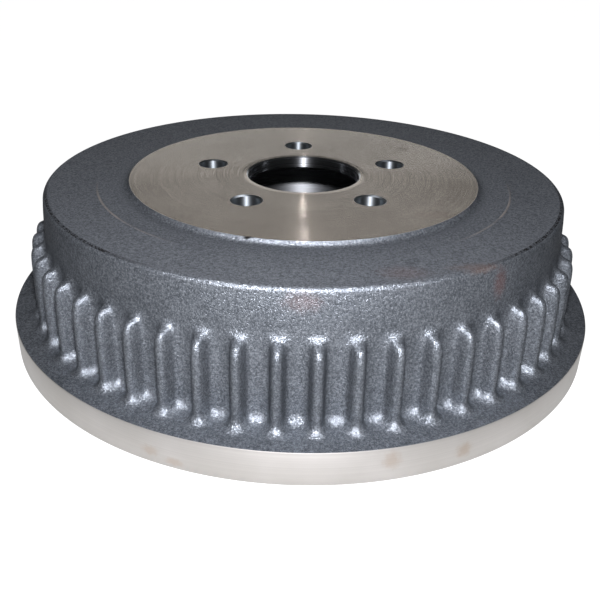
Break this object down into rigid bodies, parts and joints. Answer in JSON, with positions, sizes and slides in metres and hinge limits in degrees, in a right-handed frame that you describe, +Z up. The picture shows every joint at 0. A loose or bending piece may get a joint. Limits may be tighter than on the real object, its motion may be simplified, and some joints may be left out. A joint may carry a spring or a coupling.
{
  "type": "brake drum",
  "caption": "Deep cylindrical brake drum with a flat bolted mounting face, centre bore, upright outer cooling ribs and a heavy open rim.",
  "frame": {"origin": "centre of the open rim's flat face, on the axis: the face the drum stands on, at the lowest point of the part", "axes": "+Z up along the drum's axis, out of the mounting face towards the wheel; one of the five stud holes lies on +Y; +X to the right with +Y at the back"},
  "size_m": [0.3456, 0.3456, 0.0889],
  "materials": {
    "grey_iron": "as-cast dark grey with turned faces and rim"
  },
  "bodies": {
    "root": {"brake_drum": "grey_iron"}
  },
  "joints": []
}
